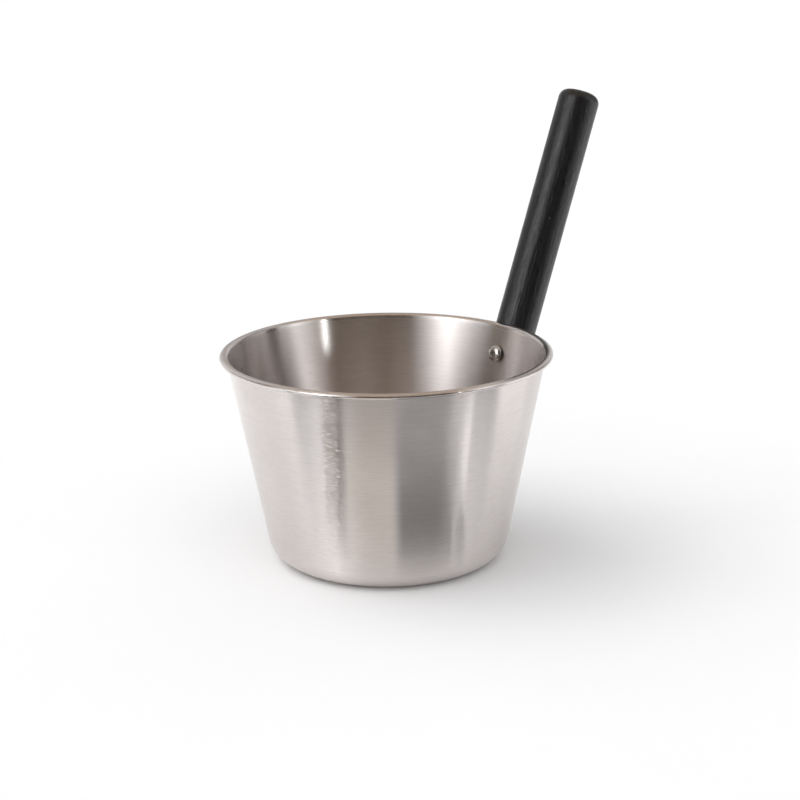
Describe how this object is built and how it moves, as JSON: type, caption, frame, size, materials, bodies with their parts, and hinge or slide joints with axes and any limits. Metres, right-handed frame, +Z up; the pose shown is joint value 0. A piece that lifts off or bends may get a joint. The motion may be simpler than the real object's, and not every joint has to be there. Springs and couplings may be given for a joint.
{
  "type": "candle melting pot",
  "caption": "Tapered steel pot with a rolled rim and a bolted black wooden handle, for melting and pouring wax.",
  "frame": {"origin": "centre of the flat underside of the base, on the pot's own axis", "axes": "+Z up along the pot's axis, +X towards the side that carries the handle, which lies in the XZ plane"},
  "size_m": [0.3163, 0.23, 0.3118],
  "materials": {
    "pot_steel": "fine brushing that runs round the pot, inside and outside, with a brighter rolled rim",
    "black_wood": "satin black paint over wood, faint grain, tiny scuffs",
    "screw_steel": "bright turned stainless steel",
    "washer_steel": "plain stainless steel",
    "seal_rubber": "matte black",
    "insert_brass": "turned, unpolished"
  },
  "bodies": {
    "root": {"pot_body": "pot_steel", "handle_grip": "black_wood", "upper_screw": "screw_steel", "lower_screw": "screw_steel", "upper_washer": "washer_steel", "lower_washer": "washer_steel", "upper_seal": "seal_rubber", "lower_seal": "seal_rubber", "upper_insert": "insert_brass", "lower_insert": "insert_brass"}
  },
  "joints": []
}
